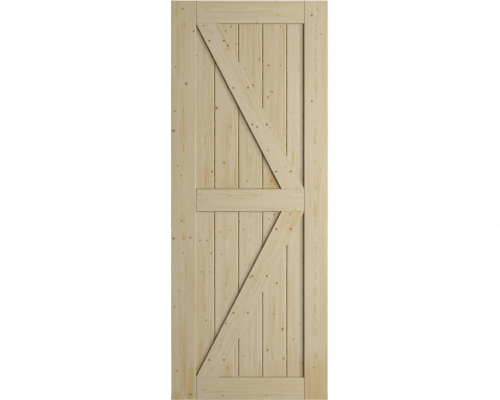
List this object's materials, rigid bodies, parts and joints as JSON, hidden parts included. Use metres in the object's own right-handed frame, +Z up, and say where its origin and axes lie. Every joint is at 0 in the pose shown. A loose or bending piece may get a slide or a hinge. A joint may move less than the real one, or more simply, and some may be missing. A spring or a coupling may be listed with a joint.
{
  "type": "barn door",
  "caption": "Bare softwood barn door slab: a grooved frame filled with upright tongue-and-groove boards, with slanting braces that form a K on both faces.",
  "frame": {"origin": "middle of the door's top edge, in the middle of its thickness, where the door hangs from its hangers", "axes": "+X along the door to the right as seen from the front, +Y from the front face to the back face, +Z up"},
  "size_m": [0.838, 0.035, 2.134],
  "materials": {
    "pine": "planed, bare",
    "screw_steel": "dark bronze coating"
  },
  "bodies": {
    "root": {"left_stile": "pine", "right_stile": "pine", "top_rail": "pine", "middle_rail": "pine", "bottom_rail": "pine", "upper_board_1": "pine", "upper_board_2": "pine", "upper_board_3": "pine", "upper_board_4": "pine", "upper_board_5": "pine", "lower_board_1": "pine", "lower_board_2": "pine", "lower_board_3": "pine", "lower_board_4": "pine", "lower_board_5": "pine", "front_upper_brace": "pine", "front_lower_brace": "pine", "back_upper_brace": "pine", "back_lower_brace": "pine"}
  },
  "joints": []
}
